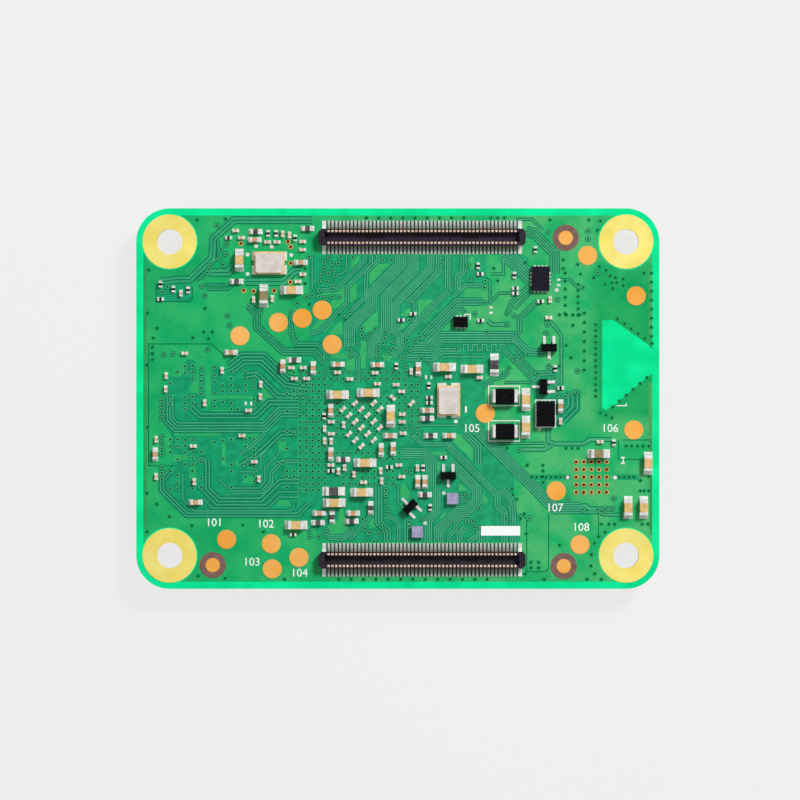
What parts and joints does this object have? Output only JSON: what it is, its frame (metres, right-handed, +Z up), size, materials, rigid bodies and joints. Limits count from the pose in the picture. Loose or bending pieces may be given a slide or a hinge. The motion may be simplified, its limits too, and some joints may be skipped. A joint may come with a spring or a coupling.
{
  "type": "system on module",
  "caption": "Flat green computer module with mezzanine connectors and dense small parts on one face, and a lidded processor, memory packages and a radio can on the other.",
  "frame": {"origin": "centre of the board in plan, at the face of the processor's lid on which the module lies", "axes": "+X along the board's length, +Y across it towards connector A, +Z up out of the connector face"},
  "size_m": [0.055, 0.04, 0.0047],
  "materials": {
    "board": "green solder mask on glass laminate",
    "gold": "immersion gold",
    "pale_gold": "pale gold plating",
    "contact_gold": "gold over nickel",
    "tin": "solder and tin plating",
    "housing": "moulded polymer",
    "chip": "black moulding compound",
    "core": "ferrite",
    "capacitor_tan": "satin ceramic",
    "capacitor_brown": "satin ceramic",
    "resistor_black": "black overcoat",
    "lid": "nickel-plated stamping",
    "crystal_base": "gold seal ring",
    "silicon": "bare silicon",
    "lamp": "clear resin",
    "antenna_plastic": "moulded polymer",
    "print": "white printing ink"
  },
  "bodies": {
    "root": {"circuit_board": "board", "mounting_hole_plating": "pale_gold", "test_pads": "gold", "fiducial_dots": "gold", "via_rings": "pale_gold", "bare_pads": "tin", "connector_a_housing": "housing", "connector_a_contacts": "contact_gold", "connector_a_hold_downs": "tin", "connector_b_housing": "housing", "connector_b_contacts": "contact_gold", "connector_b_hold_downs": "tin", "crystal_bases": "crystal_base", "crystal_lids": "lid", "crystal_solder_pads": "tin", "inductor_cores": "core", "inductor_terminals": "tin", "converter_chip": "chip", "converter_pads": "tin", "interface_chip": "chip", "interface_pads": "tin", "logic_chip": "chip", "logic_pads": "tin", "transistor_bodies": "chip", "transistor_leads": "tin", "chip_scale_dies": "silicon", "chip_scale_balls": "tin", "large_capacitor_bodies": "capacitor_tan", "large_capacitor_ends": "tin", "large_resistor_bodies": "resistor_black", "large_resistor_ends": "tin", "medium_capacitor_bodies": "capacitor_brown", "medium_capacitor_ends": "tin", "medium_resistor_bodies": "resistor_black", "medium_resistor_ends": "tin", "small_capacitor_bodies": "capacitor_brown", "small_capacitor_ends": "tin", "small_resistor_bodies": "resistor_black", "small_resistor_ends": "tin", "processor_substrate": "board", "processor_die": "silicon", "processor_lid": "lid", "processor_balls": "tin", "memory_package": "chip", "memory_balls": "tin", "flash_package": "chip", "flash_balls": "tin", "shield_can": "lid", "radio_chip": "chip", "radio_balls": "tin", "network_chip": "chip", "network_pads_tin": "tin", "power_manager_chip": "chip", "power_manager_pads": "tin", "antenna_base": "antenna_plastic", "antenna_shell": "pale_gold", "antenna_pin": "pale_gold", "status_lamps": "lamp"}
  },
  "joints": []
}
